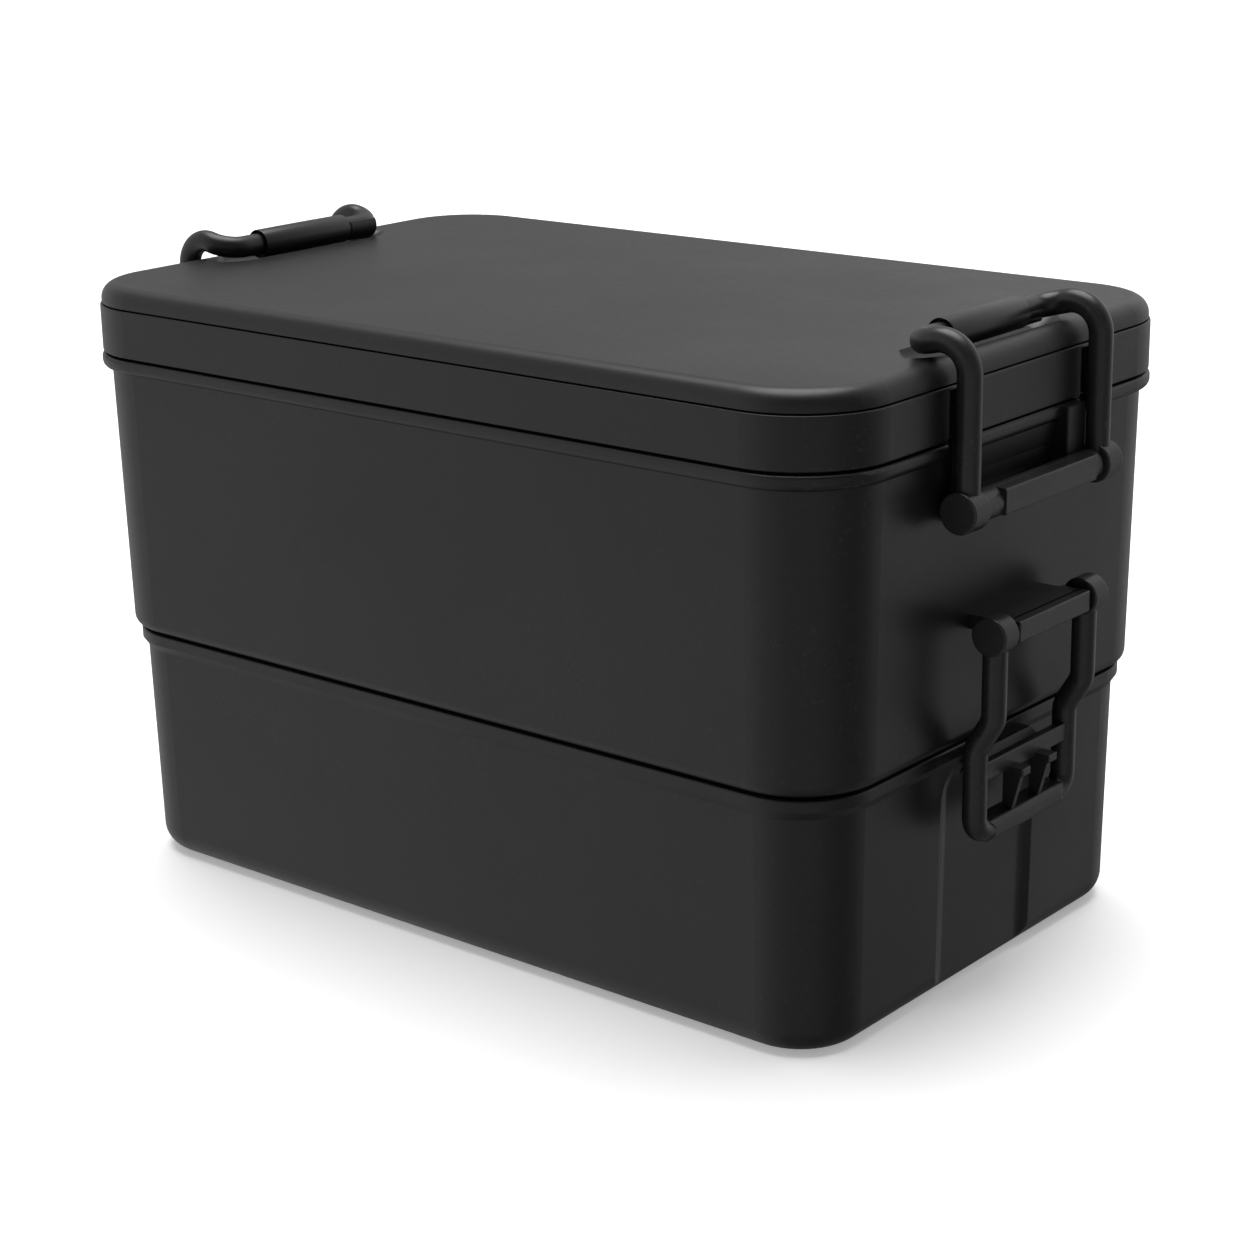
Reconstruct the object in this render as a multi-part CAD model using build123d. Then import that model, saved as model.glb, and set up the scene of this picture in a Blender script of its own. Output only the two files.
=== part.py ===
"""Two-tier bento lunch box with a lift-off lid and four swinging bail latches.

Millimetres, +Z up, long axis along X, front towards -Y.
The origin is the middle of the footprint on the surface that the box stands on.
"""
import os
from math import atan2, degrees

from build123d import *

# ---- driving sizes -------------------------------------------------------------------------
LENGTH = 202.0            # over the rim flange of the upper tier, along X
WIDTH = 126.0             # over the same flange, along Y
CORNER = 19.3             # outer corner radius of that flange

LOWER_RIM_TOP = 52.8      # top of the lower tier's rim
UPPER_BASE = 53.3         # shoulder of the upper tier above the joint line
FLANGE_TOP = 114.9        # top of the upper tier's flange
SKIRT_BASE = 115.3        # lower edge of the lid skirt
SKIRT_TOP = 125.5
COVER_BASE = 125.85       # lower edge of the top cover
COVER_TOP = 129.9

WALL = 2.0
FLOOR = 2.2
DRAFT_UPPER = 0.9         # how much wider the upper tier is at the top, per side
DRAFT_LOWER = 0.8

# distance of each outline inside the flange, per side
INSET_SKIRT = 0.25
INSET_COVER = 0.6
INSET_UPPER_TOP = 1.85
INSET_LOWER_RIM = 4.0
INSET_LOWER_TOP = 5.15

BASE_FILLET = 5.5
UPPER_FILLET = 2.4
COVER_FILLET = 3.4

# nesting of the two tiers
PLUG_DEPTH = 2.7          # how far the upper tier's base drops into the lower tier
PLUG_GAP = 0.5
RIM_HEIGHT = 7.9          # how far the upper rim stands up inside the lid skirt
RIM_GAP = 0.4
SEAL_GAP = 0.15           # a seal just clears the rim that it closes against
PANEL = 2.1               # thickness of the sealing panel in the lid frame

# top bail: pivots on the upper tier, its crossbar lies on the cover
TOP_PIVOT_X = 104.05
TOP_PIVOT_Z = 102.6
TOP_BAR_X = 91.5
TOP_BAR_Z = 132.2
TOP_CREST_Z = 135.2       # corner of the run that drops from a leg to the crossbar
TOP_LEG_Y = 23.2
TOP_BAR_R = 2.4
TOP_BOSS_R = 4.0
TOP_BOSS = (21.3, 26.5)   # inner and outer face of a pivot boss, along Y
TOP_BARREL_R = 3.0

# grip sleeve on the crossbar of a top bail
SLEEVE_R = 3.25
SLEEVE_ENDS = (-13.8, 12.6)
COLLAR_R = 3.0
COLLAR_ENDS = (13.0, 21.5)
TROUGH_DEPTH = 2.3        # the hollow in the cover below a grip
TROUGH_HALF = 4.7
TROUGH_END = 26.0
RUNNING_FIT = 0.06        # radial clearance of every pivot

# lower bail: pivots lower down on the upper tier and hooks the lower tier
LOW_PIVOT_X = 106.5
LOW_PIVOT_Z = 77.6
LOW_BAR_X = 102.7
LOW_BAR_Z = 36.8
LOW_LEG_Y = 16.25
LOW_BAR_R = 2.4
LOW_BOSS_R = 3.8
LOW_BOSS = (14.0, 18.85)
LOW_PLATE_X = (103.3, 109.65)
LOW_PLATE_Z = (75.5, 79.7)
LOW_PLATE_HALF = 12.8
LOW_GROOVE_X = (107.1, 107.6)
LOW_LEDGE_X = 102.9
LOW_LEDGE_Z = (76.4, 79.3)
JOG_TOP = 60.5            # the legs step inwards between these two heights
JOG_BASE = 54.2

PIN_R = 1.55
PIN_LENGTH = 3.2

# tie strip across the lower bail and the catch that it hooks under
TIE_Z = (47.3, 51.0)
TIE_X = (102.3, 104.2)
LIP_X = 99.4
LIP_Z = (46.8, 48.2)
CATCH_Z = (48.75, 50.9)
CATCH_X = 101.2
CATCH_HALF = 9.0

DIVIDER_X = 32.0
DIVIDER = 1.8
DIVIDER_TOP = 108.0

ENDS = {"right": 1, "left": -1}


# ---- small helpers ------------------------------------------------------------------------
def outline(inset, z):
    """The rounded outline of the box, brought in by an inset, at a height."""
    shape = RectangleRounded(LENGTH - 2 * inset, WIDTH - 2 * inset, CORNER - inset * 0.85)
    return Plane.XY.offset(z) * shape


def prism(inset, z0, z1):
    """A straight block of the box's outline."""
    return extrude(outline(inset, z0), amount=z1 - z0)


def drafted(inset0, z0, inset1, z1):
    """A block whose outline changes evenly from one height to the other."""
    return loft([outline(inset0, z0), outline(inset1, z1)], ruled=True)


def block(x, y, z):
    """A box between two values on each axis."""
    size = (x[1] - x[0], y[1] - y[0], z[1] - z[0])
    centre = ((x[0] + x[1]) / 2, (y[0] + y[1]) / 2, (z[0] + z[1]) / 2)
    return Pos(*centre) * Box(*size)


def rod(radius, x, z, y0, y1):
    """A round bar along Y."""
    return Pos(x, (y0 + y1) / 2, z) * Rot(90, 0, 0) * Cylinder(radius, y1 - y0)


def wire_tube(points, radii, radius):
    """A round bar bent along straight runs and tangent arcs."""
    path = FilletPolyline(*points, radius=radii)
    return sweep(Plane(origin=path @ 0, z_dir=path % 0) * Circle(radius), path=path)


def edges_at(shape, z, tolerance=0.01):
    """The edges that lie at one height."""
    return shape.edges().filter_by_position(Axis.Z, z - tolerance, z + tolerance)


def turned(shape, side):
    """The right-hand latch as it is, or turned half round for the left-hand end.

    The two ends are mirror images, so the collar of each grip faces the back.
    """
    return shape if side > 0 else mirror(shape, about=Plane.YZ)


# ---- lower tier ---------------------------------------------------------------------------
def lower_tier():
    """The shallow tub, with a beaded rim and a recessed panel and catch at each end."""
    inset_base = INSET_LOWER_TOP + DRAFT_LOWER
    wall_top = LOWER_RIM_TOP - 4.2
    body = drafted(inset_base, 0, INSET_LOWER_TOP, wall_top)
    body = fillet(edges_at(body, 0), BASE_FILLET)
    bead = drafted(INSET_LOWER_TOP, wall_top, INSET_LOWER_RIM, wall_top + 1.8)
    bead += prism(INSET_LOWER_RIM, wall_top + 1.8, LOWER_RIM_TOP)
    bead = fillet(edges_at(bead, LOWER_RIM_TOP), 0.5)
    body += bead
    for side in ENDS.values():
        body -= turned(end_recess(), side)
    body = fillet(recess_lips(body), 0.9)
    cavity = drafted(inset_base + WALL, FLOOR, INSET_LOWER_TOP + WALL, LOWER_RIM_TOP + 1)
    cavity = fillet(edges_at(cavity, FLOOR), 4.0)
    body -= cavity
    for side in ENDS.values():
        body += turned(catch(), side)
    return body - cavity


def end_recess():
    """The shallow panel let into an end wall, with sloping sides, open at the base."""
    base_x = LENGTH / 2 - INSET_LOWER_TOP - DRAFT_LOWER
    lean = degrees(atan2(DRAFT_LOWER, LOWER_RIM_TOP - 4.2))
    depth, out, half, spread = 1.15, 1.2, 14.5, 5.3
    floor = Plane.YZ.offset(-depth) * Pos(0, 18.9) * RectangleRounded(2 * half, 57, 5.0)
    mouth = Plane.YZ.offset(out) * Pos(0, 19.9) * RectangleRounded(2 * (half + spread), 57, 8.0)
    panel = loft([floor, mouth], ruled=True)
    panel = fillet(panel.faces().sort_by(Axis.X)[0].edges(), 5.0)
    return Pos(base_x, 0, 0) * Rot(0, lean, 0) * panel


def recess_lips(body):
    """The upright outer edges of the two end recesses."""
    wall_x = LENGTH / 2 - INSET_LOWER_TOP - 1.2
    lips = []
    for edge in body.edges():
        middle = edge @ 0.5
        if abs(middle.X) > wall_x and 16 < abs(middle.Y) < 18.5 and edge.length > 25:
            lips.append(edge)
    return lips


def catch():
    """The hook under which the lower bail's tie strip sits, with a lead-in on top."""
    wall_x = LENGTH / 2 - INSET_LOWER_TOP - WALL - 0.5
    low, high = CATCH_Z
    nose = Polyline(
        (wall_x, low - 6.0),
        (CATCH_X - 5.5, low - 2.2),
        (CATCH_X - 2.2, low),
        (CATCH_X, low),
        (CATCH_X, low + 0.8),
        (CATCH_X - 1.8, high),
        (wall_x, high),
        close=True,
    )
    face = Plane.XZ.offset(CATCH_HALF) * make_face(nose)
    hook = extrude(face, amount=-2 * CATCH_HALF)
    return hook


# ---- upper tier ---------------------------------------------------------------------------
def upper_tier():
    """The deep tub: plug base, drafted wall, flange, inner rim, and hinge brackets."""
    inset_base = INSET_UPPER_TOP + DRAFT_UPPER
    flange_base = FLANGE_TOP - 3.2
    body = drafted(inset_base, UPPER_BASE, INSET_UPPER_TOP, flange_base + 1)
    body = fillet(edges_at(body, UPPER_BASE), UPPER_FILLET)
    flange = prism(0, flange_base, FLANGE_TOP)
    flange = fillet(edges_at(flange, flange_base), 1.6)
    flange = fillet(edges_at(flange, FLANGE_TOP), 0.9)
    body += flange
    body += prism(rim_inset(), FLANGE_TOP - 1, FLANGE_TOP + RIM_HEIGHT)
    plug = prism(plug_inset(), UPPER_BASE - PLUG_DEPTH, UPPER_BASE + 1)
    body += fillet(edges_at(plug, UPPER_BASE - PLUG_DEPTH), 1.0)
    body -= seal_ring(tier_seal_insets(), UPPER_BASE - 1, UPPER_BASE + 1.0)
    for side in ENDS.values():
        body += turned(top_bracket(), side)
        body += turned(lower_bracket(), side)
        body -= turned(leg_channels(FLANGE_TOP - 6, FLANGE_TOP + 1), side)
    body -= upper_cavity()
    return body + divider_slots()


def upper_cavity():
    """The space for food, stepped where the base plug begins."""
    inset_base = INSET_UPPER_TOP + DRAFT_UPPER + WALL
    inset_top = INSET_UPPER_TOP + WALL
    step = UPPER_BASE + 2.4
    rim_top = FLANGE_TOP + RIM_HEIGHT
    cavity = drafted(inset_base, step, inset_top, FLANGE_TOP)
    cavity += prism(inset_top, FLANGE_TOP, rim_top + 1)
    floor_z = UPPER_BASE - PLUG_DEPTH + FLOOR
    well = prism(plug_inset() + WALL, floor_z, step + 1)
    return cavity + fillet(edges_at(well, floor_z), 1.5)


def plug_inset():
    """Inset of the base plug, so that it drops into the lower tier's mouth."""
    return INSET_LOWER_TOP + WALL + PLUG_GAP


def rim_inset():
    """Inset of the upper rim, so that it stands inside the lid skirt."""
    return INSET_SKIRT + WALL + RIM_GAP


def divider_slots():
    """Two pairs of upright ribs that hold the divider on each long wall."""
    ribs = []
    inner_y = WIDTH / 2 - INSET_UPPER_TOP - DRAFT_UPPER - WALL
    for side in (-1, 1):
        for step in (-1, 1):
            x = DIVIDER_X + step * (DIVIDER / 2 + 0.35 + 0.6)
            y = sorted((side * (inner_y - 1.6), side * (inner_y + 0.9)))
            ribs.append(block((x - 0.6, x + 0.6), y, (UPPER_BASE + 2.0, DIVIDER_TOP - 4)))
    return Compound(ribs)


def top_bracket():
    """The apron below the flange and the two ears that carry the top hinge barrel."""
    wall_x = LENGTH / 2 - INSET_UPPER_TOP - WALL
    face_x = LENGTH / 2 - INSET_SKIRT
    outer_y = TOP_BOSS[0] - 0.35
    slope = Polyline(
        (wall_x, 104.0),
        (face_x - 1.5, 104.0),
        (face_x - 1.3, 107.5),
        (face_x, FLANGE_TOP - 0.4),
        (face_x, FLANGE_TOP + 0.15),
        (wall_x, FLANGE_TOP + 0.15),
        close=True,
    )
    bracket = extrude(Plane.XZ.offset(outer_y) * make_face(slope), amount=-2 * outer_y)
    for y in ((-outer_y, -17.2), (14.3, outer_y)):
        ear = block((wall_x, face_x + 1.9), y, (TOP_PIVOT_Z - 3.6, FLANGE_TOP - 0.2))
        bracket += fillet(ear.faces().sort_by(Axis.X)[-1].edges(), 0.35)
    return bracket - rod(TOP_BARREL_R, TOP_PIVOT_X, TOP_PIVOT_Z, -30, 30)


def lower_bracket():
    """The ledge that the lower hinge plate is fixed to."""
    wall_x = LENGTH / 2 - INSET_UPPER_TOP - DRAFT_UPPER - WALL
    ledge = block((wall_x, LOW_LEDGE_X), (-12.9, 12.9), LOW_LEDGE_Z)
    ledge = fillet(ledge.faces().sort_by(Axis.X)[-1].edges(), 0.3)
    return ledge + block((wall_x, LOW_PLATE_X[0]), (-10.0, 10.0), (LOW_LEDGE_Z[0] + 0.4, 78.6))


def leg_channels(z0, z1):
    """The narrow grooves in an end face, one behind each leg of the top bail."""
    face_x = LENGTH / 2
    y = [(s * TOP_LEG_Y - 1.65, s * TOP_LEG_Y + 1.65) for s in (-1, 1)]
    left, right = [block((face_x - 1.5, face_x + 3), pair, (z0, z1)) for pair in y]
    return left + right


# ---- seals --------------------------------------------------------------------------------
def seal_ring(insets, z0, z1):
    """A flat ring between two insets of the box's outline."""
    return prism(insets[0], z0, z1) - prism(insets[1], z0, z1)


def tier_seal_insets():
    """The seal between the tiers lies over the middle of the lower tier's rim."""
    return (INSET_LOWER_RIM + 1.4, INSET_LOWER_RIM + 2.9)


def lid_seal_insets():
    """The lid seal lies over the upper tier's rim."""
    return (rim_inset() - 0.3, rim_inset() + 1.6)


def tier_seal():
    """Soft ring in the groove under the upper tier's shoulder."""
    return seal_ring(tier_seal_insets(), LOWER_RIM_TOP + SEAL_GAP, UPPER_BASE + 1.0)


def lid_seal():
    """Soft ring in the groove under the lid frame's panel."""
    rim_top = FLANGE_TOP + RIM_HEIGHT
    return seal_ring(lid_seal_insets(), rim_top + SEAL_GAP, SKIRT_TOP - PANEL + 1.1)


# ---- lid ----------------------------------------------------------------------------------
def lid_frame():
    """The skirt with its sealing panel, and the low wall that locates the cover."""
    body = prism(INSET_SKIRT, SKIRT_BASE, SKIRT_TOP)
    body = fillet(edges_at(body, SKIRT_BASE), 0.4)
    body = fillet(edges_at(body, SKIRT_TOP), 0.4)
    body -= prism(INSET_SKIRT + WALL, SKIRT_BASE - 1, SKIRT_TOP - PANEL)
    body += seal_ring((INSET_COVER + 2.4, INSET_COVER + 5.4), SKIRT_TOP - 0.5, COVER_BASE + 1.6)
    body -= seal_ring(lid_seal_insets(), SKIRT_TOP - PANEL - 1, SKIRT_TOP - PANEL + 1.1)
    for side in ENDS.values():
        body -= turned(leg_channels(SKIRT_BASE - 1, SKIRT_TOP - 0.6), side)
    return body


def lid_cover():
    """The flat top with a soft edge, hollow below, and a trough for each grip."""
    body = prism(INSET_COVER, COVER_BASE, COVER_TOP)
    body = fillet(edges_at(body, COVER_TOP), COVER_FILLET)
    hollow = prism(INSET_COVER + 2.4, COVER_BASE - 1, COVER_BASE + 1.6)
    pad_x = (TOP_BAR_X - TROUGH_HALF - 1.6, LENGTH / 2 - INSET_COVER - 5.7)
    for side in ENDS.values():
        hollow -= turned(block(pad_x, (-31, 31), (COVER_BASE - 2, COVER_BASE + 2)), side)
    body -= hollow
    for side in ENDS.values():
        body -= turned(grip_trough(), side)
    return body


def grip_trough():
    """A rounded hollow that runs out to a point at each end."""
    radius = (TROUGH_HALF**2 + TROUGH_DEPTH**2) / (2 * TROUGH_DEPTH)
    level = radius - TROUGH_DEPTH
    profile = Polyline(
        (-TROUGH_END, 0),
        (-TROUGH_END, level),
        (-TROUGH_END + 5.5, radius),
        (TROUGH_END - 5.5, radius),
        (TROUGH_END, level),
        (TROUGH_END, 0),
        close=True,
    )
    solid = revolve(make_face(profile), axis=Axis.X)
    return Pos(TOP_BAR_X, 0, COVER_TOP + level) * Rot(0, 0, 90) * solid


# ---- top bail and its parts ----------------------------------------------------------------
def pivot_boss(radius, faces, x, z, side):
    """The round end of a leg."""
    inner, outer = faces
    boss = rod(radius, x, z, inner, outer)
    boss = fillet(boss.edges().filter_by(GeomType.CIRCLE), 0.35)
    return boss if side > 0 else mirror(boss, about=Plane.XZ)


def pivot_bore(faces, x, z):
    """The blind holes in the two bosses that take the barrel's pins."""
    inner = faces[0]
    reach = inner + PIN_LENGTH + 0.4
    bore = rod(PIN_R + RUNNING_FIT, x, z, inner - 1, reach)
    return bore + mirror(bore, about=Plane.XZ)


def top_bail():
    """The bail over the end of the lid: bosses, legs, crossbar and collar."""
    leg, bar_x, bar_z = TOP_LEG_Y, TOP_BAR_X, TOP_BAR_Z
    points = [
        (TOP_PIVOT_X, -leg, TOP_PIVOT_Z),
        (TOP_PIVOT_X, -leg, TOP_CREST_Z),
        (bar_x, -leg, bar_z),
        (bar_x, leg, bar_z),
        (TOP_PIVOT_X, leg, TOP_CREST_Z),
        (TOP_PIVOT_X, leg, TOP_PIVOT_Z),
    ]
    bail = wire_tube(points, [6.0, 5.0, 5.0, 6.0], TOP_BAR_R)
    for s in (-1, 1):
        bail += pivot_boss(TOP_BOSS_R, TOP_BOSS, TOP_PIVOT_X, TOP_PIVOT_Z, s)
    collar = rod(COLLAR_R, bar_x, bar_z, *COLLAR_ENDS)
    collar = fillet(collar.edges().filter_by(GeomType.CIRCLE), 0.4)
    bail += collar & block((bar_x - 5, bar_x + 0.4), COLLAR_ENDS, (bar_z - 5, bar_z + 1.6))
    return bail - pivot_bore(TOP_BOSS, TOP_PIVOT_X, TOP_PIVOT_Z)


def grip_sleeve():
    """The tube that turns on the crossbar, with a dished front end."""
    sleeve = rod(SLEEVE_R, TOP_BAR_X, TOP_BAR_Z, *SLEEVE_ENDS)
    sleeve = fillet(sleeve.edges().filter_by(GeomType.CIRCLE), 0.45)
    sleeve -= rod(TOP_BAR_R + RUNNING_FIT, TOP_BAR_X, TOP_BAR_Z, -30, 30)
    start = SLEEVE_ENDS[0]
    return sleeve - rod(TOP_BAR_R + 0.55, TOP_BAR_X, TOP_BAR_Z, start - 1, start + 1.2)


def top_hinge_barrel():
    """The fixed barrel between two bosses, with a flat front block and a pin at each end."""
    x, z, radius = TOP_PIVOT_X, TOP_PIVOT_Z, TOP_BARREL_R
    half = TOP_LEG_Y - TOP_BAR_R - 0.2
    reach = TOP_BOSS[0] + PIN_LENGTH - 0.3
    barrel = rod(radius, x, z, -half, half)
    front = block((x - 0.2, x + radius + 0.3), (-15.0, 17.5), (z - radius * 0.75, z + radius * 0.96))
    barrel += fillet(front.edges().filter_by(Axis.Y), 0.5)
    return barrel + rod(PIN_R, x, z, -reach, reach)


def lower_hinge_plate():
    """The flat-faced block of the lower hinge, with a groove on top and a pin at each end."""
    half = LOW_PLATE_HALF
    plate = block(LOW_PLATE_X, (-half, half), LOW_PLATE_Z)
    plate = fillet(plate.faces().sort_by(Axis.X)[-1].edges(), 0.4)
    plate -= block(LOW_GROOVE_X, (-half - 1, half + 1), (LOW_PLATE_Z[1] - 0.9, LOW_PLATE_Z[1] + 1))
    reach = LOW_BOSS[0] + PIN_LENGTH - 0.3
    return plate + rod(PIN_R, LOW_PIVOT_X, LOW_PIVOT_Z, -reach, reach)


# ---- lower bail ----------------------------------------------------------------------------
def lower_bail():
    """The hanging loop: bosses, stepped legs, crossbar, tie strip and finger ribs."""
    leg, bar_x, bar_z = LOW_LEG_Y, LOW_BAR_X, LOW_BAR_Z
    half = [
        (LOW_PIVOT_X, LOW_PIVOT_Z),
        (LOW_PIVOT_X, JOG_TOP),
        (bar_x, JOG_BASE),
        (bar_x, bar_z),
    ]
    down = [(x, -leg, z) for x, z in half]
    up = [(x, leg, z) for x, z in reversed(half)]
    bail = wire_tube(down + up, [5.0, 5.0, 3.6, 3.6, 5.0, 5.0], LOW_BAR_R)
    bar = block((bar_x - 2.0, bar_x + LOW_BAR_R), (-leg + 2.6, leg - 2.6), (bar_z - 2.3, bar_z + 2.2))
    bail += fillet(bar.faces().sort_by(Axis.X)[-1].edges(), 1.5)
    for s in (-1, 1):
        bail += pivot_boss(LOW_BOSS_R, LOW_BOSS, LOW_PIVOT_X, LOW_PIVOT_Z, s)
    bail += tie_strip()
    for s in (-1, 1):
        bail += finger_rib(s * 4.85)
    return bail - pivot_bore(LOW_BOSS, LOW_PIVOT_X, LOW_PIVOT_Z)


def tie_strip():
    """The strip between the legs, with the lip that hooks under the catch."""
    strip = block(TIE_X, (-LOW_LEG_Y, LOW_LEG_Y), TIE_Z)
    strip = fillet(strip.edges().filter_by(Axis.Y), 0.3)
    reach = CATCH_HALF + 1.0
    return strip + block((LIP_X, TIE_X[0] + 0.8), (-reach, reach), LIP_Z)


def finger_rib(y):
    """A wedge between the crossbar and the tie strip, with a small square head."""
    back, base_z, top_z = 102.2, LOW_BAR_Z + 1.0, TIE_Z[0] + 0.6
    web = Polyline(
        (back, base_z),
        (104.0, base_z),
        (106.4, top_z - 1.2),
        (106.4, top_z),
        (back, top_z),
        close=True,
    )
    rib = extrude(Plane.XZ.offset(-y) * make_face(web), amount=0.6, both=True)
    head = block((103.0, 107.2), (y - 1.5, y + 1.5), (top_z - 1.6, top_z))
    return rib + fillet(head.faces().sort_by(Axis.X)[-1].edges(), 0.3)


# ---- divider -------------------------------------------------------------------------------
def divider():
    """The loose partition that stands across the upper tier."""
    inset_base = INSET_UPPER_TOP + DRAFT_UPPER + WALL
    floor_z = UPPER_BASE - PLUG_DEPTH + FLOOR
    gap = 0.4
    half_low = WIDTH / 2 - plug_inset() - WALL - gap - 1.2
    half_mid = WIDTH / 2 - inset_base - gap
    step = UPPER_BASE + 2.4 + gap
    profile = Polyline(
        (-half_low, floor_z + gap),
        (half_low, floor_z + gap),
        (half_low, step),
        (half_mid, step),
        (half_mid, DIVIDER_TOP),
        (-half_mid, DIVIDER_TOP),
        (-half_mid, step),
        (-half_low, step),
        close=True,
    )
    plate = extrude(Plane.YZ.offset(DIVIDER_X) * make_face(profile), amount=DIVIDER / 2, both=True)
    top = edges_at(plate, DIVIDER_TOP).filter_by(Axis.Y)
    return fillet(top, 0.6)


# ---- write every piece -----------------------------------------------------------------------
def build():
    """All pieces by name."""
    nodes = {
        "lower_tier": lower_tier(),
        "upper_tier": upper_tier(),
        "tier_seal": tier_seal(),
        "lid_frame": lid_frame(),
        "lid_cover": lid_cover(),
        "lid_seal": lid_seal(),
        "divider": divider(),
    }
    latch = {
        "top_bail": top_bail(),
        "grip_sleeve": grip_sleeve(),
        "top_hinge_barrel": top_hinge_barrel(),
        "lower_bail": lower_bail(),
        "lower_hinge_plate": lower_hinge_plate(),
    }
    for end, side in ENDS.items():
        for name, shape in latch.items():
            nodes[f"{name}_{end}"] = turned(shape, side)
    return nodes


def main():
    os.makedirs("parts", exist_ok=True)
    for name, shape in build().items():
        export_step(shape, f"parts/{name}.step")


main()
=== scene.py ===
"""A two-tier lunch box in near-black moulded plastic, with a lid and four bail latches."""

import math

import bmesh
import bpy
from mathutils import Matrix, Vector


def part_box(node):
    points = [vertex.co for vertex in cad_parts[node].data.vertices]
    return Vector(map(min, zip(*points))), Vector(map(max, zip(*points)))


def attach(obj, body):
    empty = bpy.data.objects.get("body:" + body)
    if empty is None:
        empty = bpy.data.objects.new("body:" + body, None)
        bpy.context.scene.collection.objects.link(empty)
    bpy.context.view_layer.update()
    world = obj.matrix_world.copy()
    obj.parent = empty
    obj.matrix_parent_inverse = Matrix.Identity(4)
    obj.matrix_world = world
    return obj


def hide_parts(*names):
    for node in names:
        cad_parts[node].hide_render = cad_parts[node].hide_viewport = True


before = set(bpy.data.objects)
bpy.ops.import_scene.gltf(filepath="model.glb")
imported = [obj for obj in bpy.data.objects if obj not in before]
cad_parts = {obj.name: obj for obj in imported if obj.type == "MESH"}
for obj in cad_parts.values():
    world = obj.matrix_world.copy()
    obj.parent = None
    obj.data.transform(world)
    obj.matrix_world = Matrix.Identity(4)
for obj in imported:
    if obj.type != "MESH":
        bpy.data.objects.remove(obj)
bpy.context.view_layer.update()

# ---- the camera ----------------------------------------------------------------------------
# A short telephoto lens, a little above the lid and about 40 degrees round from the front
# towards the right end, so that the long front and the latched end both show.
turn, tilt, lean = math.radians(39.83), math.radians(17.36), math.radians(-1.02)
stand_off = 0.5714
back = Vector((math.sin(turn) * math.cos(tilt), -math.cos(turn) * math.cos(tilt), math.sin(tilt)))
across = Vector((0, 0, 1)).cross(back).normalized()
above = back.cross(across)
right = math.cos(lean) * across + math.sin(lean) * above
up = -math.sin(lean) * across + math.cos(lean) * above
seam_height = 0.1152
framing_right, framing_up = 0.00325, -0.0569
aim = Vector((0, 0, seam_height)) + framing_right * right + framing_up * up

camera = bpy.data.objects.new("camera", bpy.data.cameras.new("camera"))
camera.data.lens = 78.07
camera.data.sensor_width = 36.0
camera.data.clip_start = 0.01
camera.data.clip_end = 30.0
turned = Matrix((right, up, back)).transposed().to_4x4()
camera.matrix_world = Matrix.Translation(aim + stand_off * back) @ turned
bpy.context.scene.collection.objects.link(camera)
bpy.context.scene.camera = camera
bpy.context.scene.view_settings.view_transform = "Standard"

# ---- the floor and the light ------------------------------------------------------------------
# A white sweep under a broad overhead bank. Soft panels at the left, behind and above shine in
# the plastic, with a dim fill from the camera's side. The paper glows a little to keep its
# shadow light, and stays out of reflections.
floor_half_width = 6.0
paper_tone = 0.93
paper_glow = 0.3
floor_mesh = bmesh.new()
bmesh.ops.create_grid(floor_mesh, x_segments=1, y_segments=1, size=floor_half_width)
floor = bpy.data.objects.new("floor", bpy.data.meshes.new("floor"))
floor_mesh.to_mesh(floor.data)
floor_mesh.free()
bpy.context.scene.collection.objects.link(floor)
paper = bpy.data.materials.new("white_paper")
paper.use_nodes = True
paper_shader = paper.node_tree.nodes["Principled BSDF"]
paper_shader.inputs["Base Color"].default_value = (paper_tone, paper_tone, paper_tone, 1)
paper_shader.inputs["Roughness"].default_value = 0.9
paper_shader.inputs["Specular IOR Level"].default_value = 0.1
paper_shader.inputs["Emission Color"].default_value = (1, 1, 1, 1)
paper_shader.inputs["Emission Strength"].default_value = paper_glow
floor.data.materials.append(paper)
floor.visible_glossy = False

# Each panel: the direction it lies in, how wide it spreads in degrees, and its brightness.
room_glow = 0.14
panels = (
    ((-0.85, -0.50, -0.10), 84, 0.60),
    ((0.24, 0.92, 0.30), 59, 0.54),
    ((-0.30, 0.72, 0.62), 60, 0.24),
    ((0.61, -0.73, -0.30), 50, 0.22),
)
world = bpy.data.worlds.new("studio")
bpy.context.scene.world = world
world.use_nodes = True
studio = world.node_tree
sky = studio.nodes["Background"]
sky.inputs["Color"].default_value = (1, 1, 1, 1)
look = studio.nodes.new("ShaderNodeTexCoord")
total = studio.nodes.new("ShaderNodeMath")
total.inputs[0].default_value = room_glow
total.inputs[1].default_value = 0.0
for toward, spread_angle, power in panels:
    facing = studio.nodes.new("ShaderNodeVectorMath")
    facing.operation = "DOT_PRODUCT"
    facing.inputs[1].default_value = Vector(toward).normalized()
    studio.links.new(look.outputs["Generated"], facing.inputs[0])
    panel = studio.nodes.new("ShaderNodeMapRange")
    panel.interpolation_type = "SMOOTHSTEP"
    panel.inputs["From Min"].default_value = math.cos(math.radians(spread_angle))
    panel.inputs["To Max"].default_value = power
    studio.links.new(facing.outputs["Value"], panel.inputs["Value"])
    added = studio.nodes.new("ShaderNodeMath")
    studio.links.new(total.outputs["Value"], added.inputs[0])
    studio.links.new(panel.outputs["Result"], added.inputs[1])
    total = added
seen = studio.nodes.new("ShaderNodeLightPath")
white = studio.nodes.new("ShaderNodeMix")
white.inputs["B"].default_value = 1.0
studio.links.new(seen.outputs["Is Camera Ray"], white.inputs["Factor"])
studio.links.new(total.outputs["Value"], white.inputs["A"])
studio.links.new(white.outputs["Result"], sky.inputs["Strength"])

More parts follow.
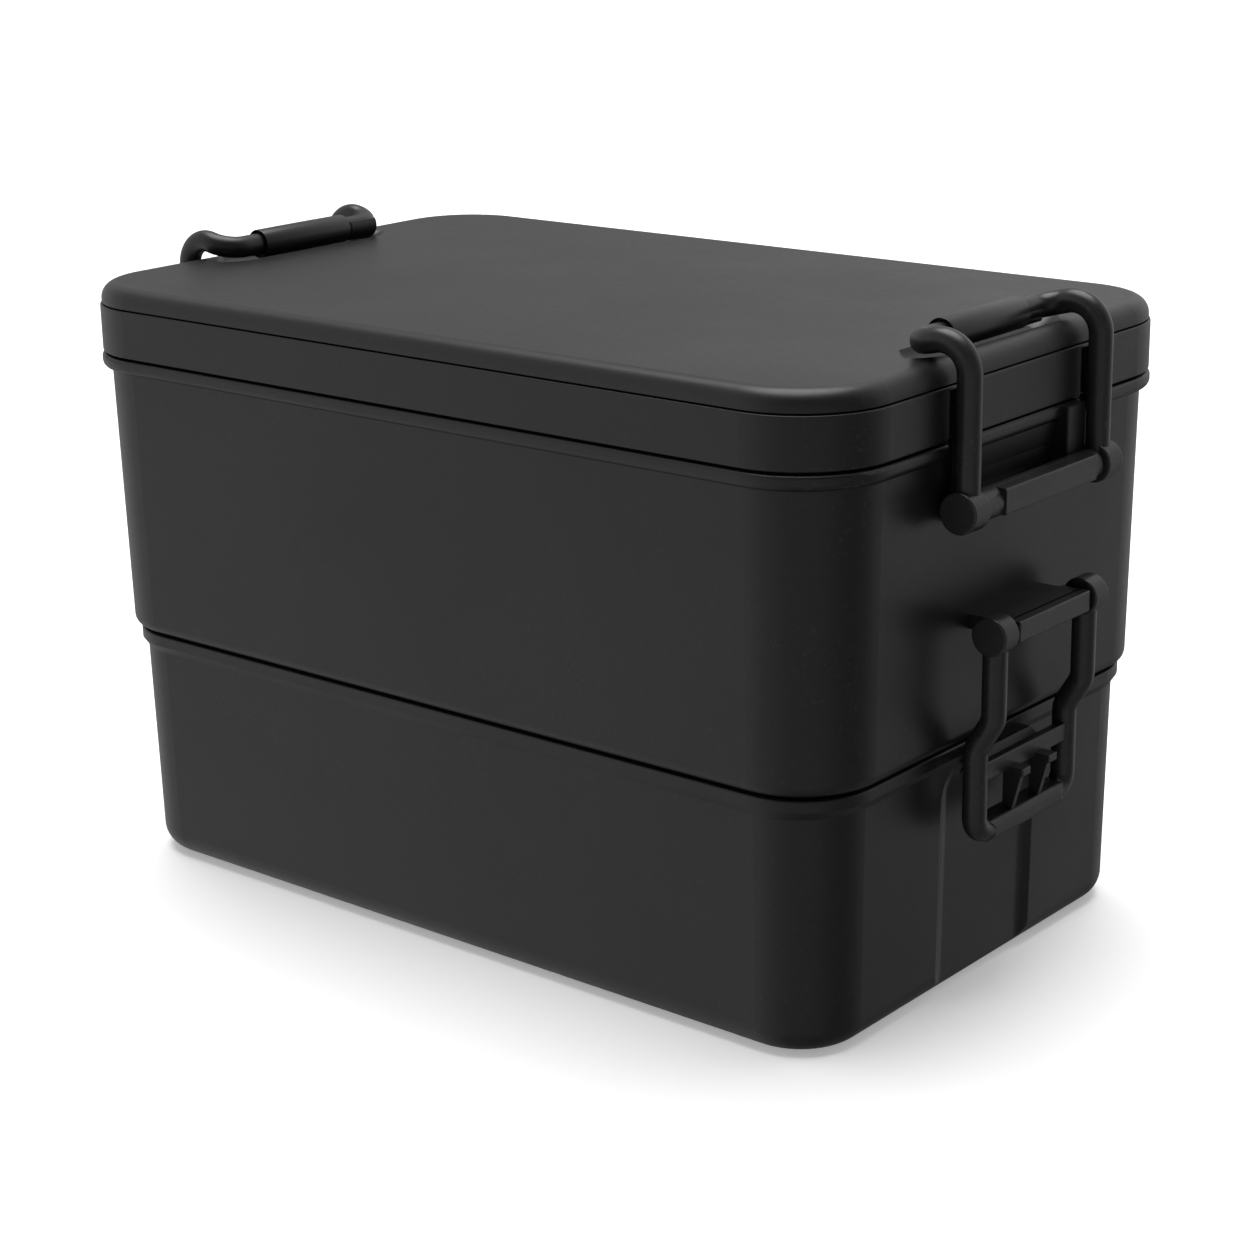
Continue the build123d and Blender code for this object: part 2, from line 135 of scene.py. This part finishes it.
overhead = bpy.data.objects.new("overhead_bank", bpy.data.lights.new("overhead_bank", "SUN"))
overhead.data.energy = 3.0
overhead.data.angle = math.radians(50)
overhead.rotation_euler = (math.radians(-8), math.radians(-10), 0)
bpy.context.scene.collection.objects.link(overhead)


# ---- lower tub ----------------------------------------------------------------------------------
# The shallow tub that stands on the table. It is injection-moulded in near-black plastic, with
# a satin outside, a beaded rim and a recessed panel with a catch at each end.
def moulded_plastic(name, tone, rough, grain=0.03, smudge=0.05, dust=4.0):
    """Satin plastic: a fine moulded grain, faint handling marks and a few specks of dust."""
    material = bpy.data.materials.new(name)
    material.use_nodes = True
    nodes, links = material.node_tree.nodes, material.node_tree.links
    shader = nodes["Principled BSDF"]
    place = nodes.new("ShaderNodeTexCoord")

    def noise(size, detail, roughness=0.5):
        made = nodes.new("ShaderNodeTexNoise")
        made.inputs["Scale"].default_value = size
        made.inputs["Detail"].default_value = detail
        made.inputs["Roughness"].default_value = roughness
        links.new(place.outputs["Object"], made.inputs["Vector"])
        return made.outputs["Fac"]

    def spread(source, low, high, out_low, out_high):
        made = nodes.new("ShaderNodeMapRange")
        made.inputs["From Min"].default_value = low
        made.inputs["From Max"].default_value = high
        made.inputs["To Min"].default_value = out_low
        made.inputs["To Max"].default_value = out_high
        links.new(source, made.inputs["Value"])
        return made.outputs["Result"]

    def combine(first, second, operation):
        made = nodes.new("ShaderNodeMath")
        made.operation = operation
        links.new(first, made.inputs[0])
        links.new(second, made.inputs[1])
        return made.outputs["Value"]

    # Dust sits in drifts: fine specks show mostly where a broad cloud is thick.
    specks = spread(noise(1100.0, 2.0, 0.75), 0.60, 0.74, 0.0, 1.0)
    drifts = spread(noise(34.0, 3.0, 0.6), 0.42, 0.68, 0.25, 1.0)
    ramp = nodes.new("ShaderNodeValToRGB")
    ramp.color_ramp.elements[0].color = (tone, tone, tone * 1.02, 1)
    ramp.color_ramp.elements[1].color = (tone * dust, tone * dust, tone * dust, 1)
    links.new(combine(specks, drifts, "MULTIPLY"), ramp.inputs["Fac"])
    links.new(ramp.outputs["Color"], shader.inputs["Base Color"])
    clouds = spread(noise(22.0, 5.0, 0.6), 0.3, 0.7, rough - smudge, rough + smudge)
    fine = spread(noise(700.0, 2.0, 0.6), 0.3, 0.7, -0.02, 0.02)
    links.new(combine(clouds, fine, "ADD"), shader.inputs["Roughness"])
    bump = nodes.new("ShaderNodeBump")
    bump.inputs["Strength"].default_value = grain
    bump.inputs["Distance"].default_value = 0.0002
    links.new(noise(1500.0, 3.0, 0.6), bump.inputs["Height"])
    links.new(bump.outputs["Normal"], shader.inputs["Normal"])
    shader.inputs["IOR"].default_value = 1.46
    return material


tub_finish = moulded_plastic("tub_satin", 0.005, 0.37, grain=0.02)
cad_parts["lower_tier"].material_slots[0].material = tub_finish

# ---- seal between the tubs --------------------------------------------------------------------
# A soft rubber ring pressed into the underside of the upper tub. It lands on the lower rim.
seal_rubber = moulded_plastic("seal_rubber", 0.015, 0.6)
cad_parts["tier_seal"].material_slots[0].material = seal_rubber

# ---- upper tub ----------------------------------------------------------------------------------
# The deep tub that stacks on the lower one. It is moulded in the same plastic, with a rim
# flange all round and a bracket under it at each end for the latches.
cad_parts["upper_tier"].material_slots[0].material = tub_finish

# ---- divider ------------------------------------------------------------------------------------
# A loose plate that stands across the upper tub, moulded in a slightly paler plastic.
divider_satin = moulded_plastic("divider_satin", 0.012, 0.45)
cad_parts["divider"].material_slots[0].material = divider_satin

# ---- lid frame ----------------------------------------------------------------------------------
# The outer ring of the lid, whose skirt closes over the rim of the upper tub.
lid_satin = moulded_plastic("lid_satin", 0.005, 0.38)
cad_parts["lid_frame"].material_slots[0].material = lid_satin

# ---- lid cover ----------------------------------------------------------------------------------
# The flat top of the lid, snapped into the frame, with a trough under each bail's crossbar.
cover_satin = moulded_plastic("cover_satin", 0.005, 0.38)
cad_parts["lid_cover"].material_slots[0].material = cover_satin

# ---- lid seal -----------------------------------------------------------------------------------
# A rubber ring in a groove under the lid frame, of the same stuff as the seal below.
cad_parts["lid_seal"].material_slots[0].material = seal_rubber

# ---- top hinge barrels --------------------------------------------------------------------------
# The fixed barrel under the rim at each end, with a flat front and a pin at both ends that
# the upper bail snaps on to. It is a harder, slightly glossier plastic than the tubs.
latch_satin = moulded_plastic("latch_satin", 0.009, 0.35, grain=0.008)
for end in ("left", "right"):
    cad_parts["top_hinge_barrel_" + end].material_slots[0].material = latch_satin

# ---- top bails ----------------------------------------------------------------------------------
# A round bar bent over the end of the lid and moulded in one with its two pivot bosses. Its
# crossbar lies in the cover's trough and presses the lid down.
for end in ("left", "right"):
    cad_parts["top_bail_" + end].material_slots[0].material = latch_satin

# ---- grips --------------------------------------------------------------------------------------
# The loose tube that turns on each crossbar as a thumb roller. It is turned from a profile,
# with a dished front end, softened rims and a barely crowned middle.
grip_satin = moulded_plastic("grip_satin", 0.009, 0.32, grain=0.008)
grip_steps = 72
rim_softness = 0.00012
bore_radius = 0.00246
dish_radius = 0.00295
dish_depth = 0.0012
crown = 0.00004
for end in ("left", "right"):
    low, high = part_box("grip_sleeve_" + end)
    center_x, center_z = (low[0] + high[0]) / 2, (low[2] + high[2]) / 2
    outer_radius = (high[2] - low[2]) / 2
    middle = (low[1] + high[1]) / 2
    grip_mesh = bmesh.new()
    profile = [
        grip_mesh.verts.new((center_x + radius, y, center_z))
        for radius, y in (
            (bore_radius, low[1] + dish_depth),
            (dish_radius, low[1] + dish_depth),
            (dish_radius, low[1]),
            (outer_radius - crown, low[1]),
            (outer_radius, middle),
            (outer_radius - crown, high[1]),
            (bore_radius, high[1]),
        )
    ]
    rim = [
        grip_mesh.edges.new((start, finish))
        for start, finish in zip(profile, profile[1:] + profile[:1])
    ]
    bmesh.ops.spin(
        grip_mesh,
        geom=profile + rim,
        cent=(center_x, 0, center_z),
        axis=(0, 1, 0),
        angle=math.tau,
        steps=grip_steps,
        use_merge=True,
    )
    bmesh.ops.remove_doubles(grip_mesh, verts=grip_mesh.verts, dist=1e-7)
    bmesh.ops.recalc_face_normals(grip_mesh, faces=grip_mesh.faces)
    corners = [
        edge for edge in grip_mesh.edges if edge.calc_face_angle(0) > math.radians(60)
    ]
    bmesh.ops.bevel(
        grip_mesh,
        geom=corners,
        offset=rim_softness,
        segments=3,
        profile=0.5,
        affect="EDGES",
        material=-1,
    )
    for face in grip_mesh.faces:
        face.smooth = True
    grip_name = "grip_roller_" + end
    grip = bpy.data.objects.new(grip_name, bpy.data.meshes.new(grip_name))
    grip_mesh.to_mesh(grip.data)
    grip_mesh.free()
    bpy.context.scene.collection.objects.link(grip)
    grip.data.materials.append(grip_satin)
    grip.data.set_sharp_from_angle(angle=math.radians(50))
    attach(grip, "grip_" + end)
    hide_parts("grip_sleeve_" + end)

# ---- lower hinge plates ---------------------------------------------------------------------------
# The flat block low on each end of the upper tub, seated on a small ledge, with a groove on
# top and a pin at both ends for the lower bail.
for end in ("left", "right"):
    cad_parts["lower_hinge_plate_" + end].material_slots[0].material = latch_satin

# ---- lower bails ----------------------------------------------------------------------------------
# The hanging loop that hooks under the lower tub's catch. Its stepped legs, tie strip and
# two finger ribs are one moulding.
for end in ("left", "right"):
    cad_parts["lower_bail_" + end].material_slots[0].material = latch_satin
